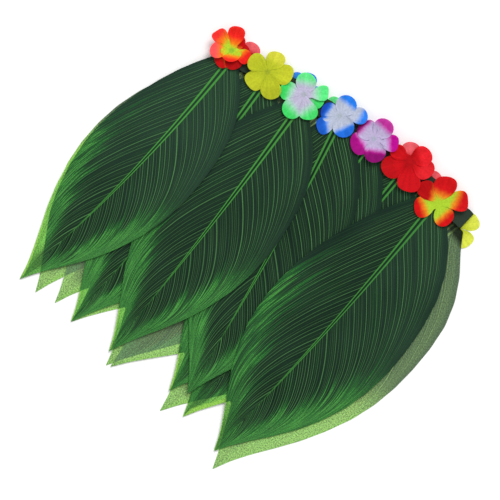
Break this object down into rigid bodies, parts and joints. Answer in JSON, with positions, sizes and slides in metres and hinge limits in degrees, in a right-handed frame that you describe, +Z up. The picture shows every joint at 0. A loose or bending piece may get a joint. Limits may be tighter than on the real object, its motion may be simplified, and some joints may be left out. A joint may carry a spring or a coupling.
{
  "type": "ti leaf skirt",
  "caption": "Costume hula skirt of printed cloth ti leaves sewn side by side round a ribbon waistband, with a cloth blossom over each sewn end, laid flat with its front up.",
  "frame": {"origin": "middle of the laid skirt's box, on the surface that it lies on", "axes": "+X along the waist from the wearer's right to the wearer's left, +Y in the surface from the leaves' tips to the waist, +Z up out of the skirt's front"},
  "size_m": [0.4853, 0.463, 0.0184],
  "materials": {
    "leaf_cloth": "printed polyester cloth stiffened with size, dull with a soft sheen, dark blue-green with brighter green veins and lime margins",
    "band_ribbon": "dark green woven ribbon, matt, raw edge",
    "petal_red_orange": "stamped polyester petals, red tips through orange to a lime eye",
    "petal_yellow": "stamped polyester petals, plain yellow",
    "petal_green": "stamped polyester petals, lilac white with green tips",
    "petal_blue": "stamped polyester petals, pale lilac with blue tips",
    "petal_magenta": "stamped polyester petals, lilac white with magenta tips",
    "petal_red": "stamped polyester petals, plain red",
    "petal_red_lime": "stamped polyester petals, red tips through orange to a lime eye"
  },
  "bodies": {
    "root": {"waist_band": "band_ribbon", "leaf_front_1": "leaf_cloth", "leaf_front_2": "leaf_cloth", "leaf_front_3": "leaf_cloth", "leaf_front_4": "leaf_cloth", "leaf_front_5": "leaf_cloth", "leaf_front_6": "leaf_cloth", "leaf_front_7": "leaf_cloth", "leaf_back_1": "leaf_cloth", "leaf_back_2": "leaf_cloth", "leaf_back_3": "leaf_cloth", "leaf_back_4": "leaf_cloth", "leaf_back_5": "leaf_cloth", "leaf_back_6": "leaf_cloth", "leaf_back_7": "leaf_cloth", "blossom_back_1": "petal_red", "blossom_back_2": "petal_blue", "blossom_back_3": "petal_green", "blossom_back_4": "petal_magenta", "blossom_back_5": "petal_yellow", "blossom_back_6": "petal_red", "blossom_back_7": "petal_yellow", "blossom_front_1": "petal_red_orange", "blossom_front_1_under": "petal_red_orange", "blossom_front_2": "petal_yellow", "blossom_front_3": "petal_green", "blossom_front_3_under": "petal_green", "blossom_front_4": "petal_blue", "blossom_front_5": "petal_magenta", "blossom_front_6": "petal_red", "blossom_front_6_under": "petal_red", "blossom_front_7": "petal_red_lime"}
  },
  "joints": []
}
